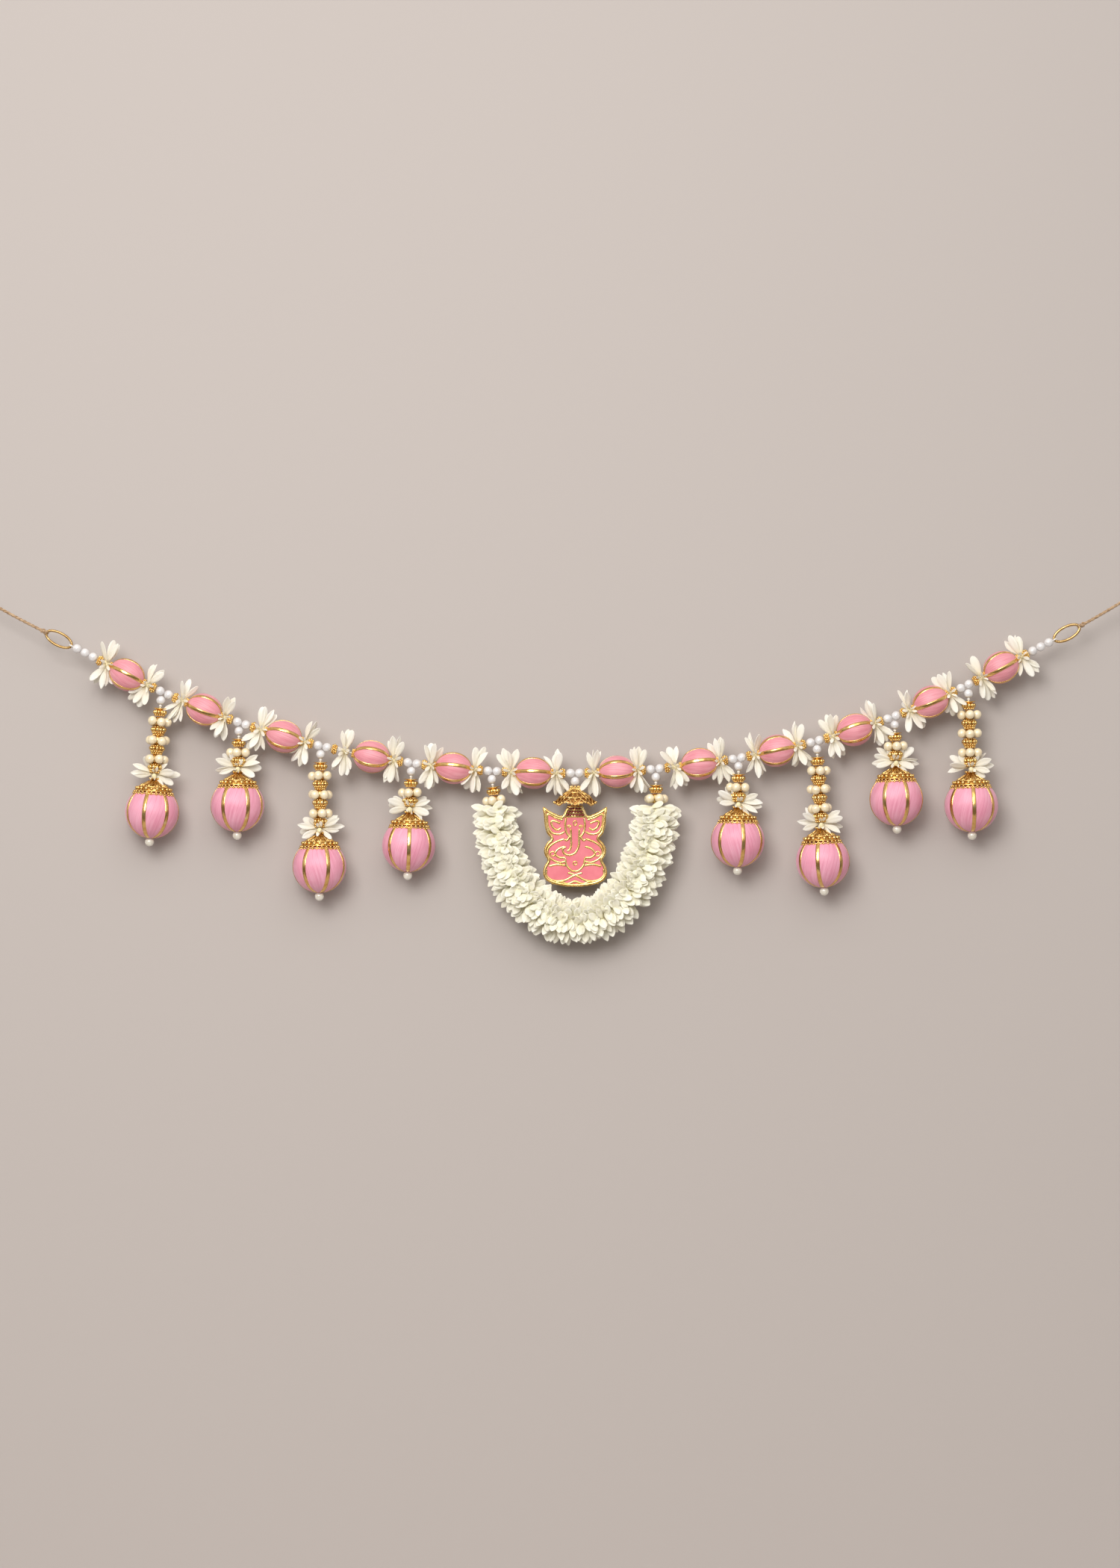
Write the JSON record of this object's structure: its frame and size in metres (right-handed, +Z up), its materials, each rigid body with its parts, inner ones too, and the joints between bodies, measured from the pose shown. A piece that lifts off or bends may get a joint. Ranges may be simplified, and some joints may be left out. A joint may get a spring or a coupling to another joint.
{
  "type": "toran door hanging",
  "caption": "Toran door hanging of thread-wound beads, petal flowers and pearls on a sagging line, with hanging drops, a petal garland and an enamelled figure pendant.",
  "frame": {"origin": "centre of the left cord loop, where the nail or hook of the doorway goes through it", "axes": "+X along the span to the right loop, +Z up, -Y out of the wall towards the viewer"},
  "size_m": [1.1213, 0.049, 0.3447],
  "materials": {
    "pink_thread": "silky wound thread, satin",
    "gold": "polished granulated gold-plated metal",
    "pearl": "white pearl lustre",
    "warm_pearl": "champagne pearl lustre",
    "petal_cloth": "matte ivory petal cloth",
    "cream_petal": "matte cream petal cloth",
    "jute": "twisted jute, matte",
    "pink_enamel": "glossy pink enamel in a gold-coloured plate"
  },
  "bodies": {
    "root": {"cord_left": "jute", "cord_right": "jute", "loop_left": "jute", "loop_right": "jute", "ring_left": "gold", "ring_right": "gold", "oval_bead_01": "pink_thread", "oval_bead_02": "pink_thread", "oval_bead_03": "pink_thread", "oval_bead_04": "pink_thread", "oval_bead_05": "pink_thread", "oval_bead_06": "pink_thread", "oval_bead_07": "pink_thread", "oval_bead_08": "pink_thread", "oval_bead_09": "pink_thread", "oval_bead_10": "pink_thread", "oval_bead_11": "pink_thread", "oval_bead_12": "pink_thread", "spray_00": "pearl", "spray_01": "petal_cloth", "spray_02": "petal_cloth", "spray_03": "petal_cloth", "spray_04": "petal_cloth", "spray_05": "petal_cloth", "spray_06": "petal_cloth", "spray_07": "petal_cloth", "spray_08": "petal_cloth", "spray_09": "petal_cloth", "spray_10": "petal_cloth", "spray_11": "petal_cloth", "spray_12": "pearl", "drop_stem_1": "warm_pearl", "drop_stem_2": "warm_pearl", "drop_stem_3": "warm_pearl", "drop_stem_4": "warm_pearl", "drop_stem_5": "warm_pearl", "drop_stem_6": "warm_pearl", "drop_stem_7": "warm_pearl", "drop_stem_8": "warm_pearl", "drop_cap_1": "gold", "drop_cap_2": "gold", "drop_cap_3": "gold", "drop_cap_4": "gold", "drop_cap_5": "gold", "drop_cap_6": "gold", "drop_cap_7": "gold", "drop_cap_8": "gold", "drop_ball_1": "pink_thread", "drop_ball_2": "pink_thread", "drop_ball_3": "pink_thread", "drop_ball_4": "pink_thread", "drop_ball_5": "pink_thread", "drop_ball_6": "pink_thread", "drop_ball_7": "pink_thread", "drop_ball_8": "pink_thread", "garland_head_left": "warm_pearl", "garland_head_right": "warm_pearl", "jasmine_garland": "cream_petal", "pendant_crown": "gold", "pendant_plate": "pink_enamel"}
  },
  "joints": []
}
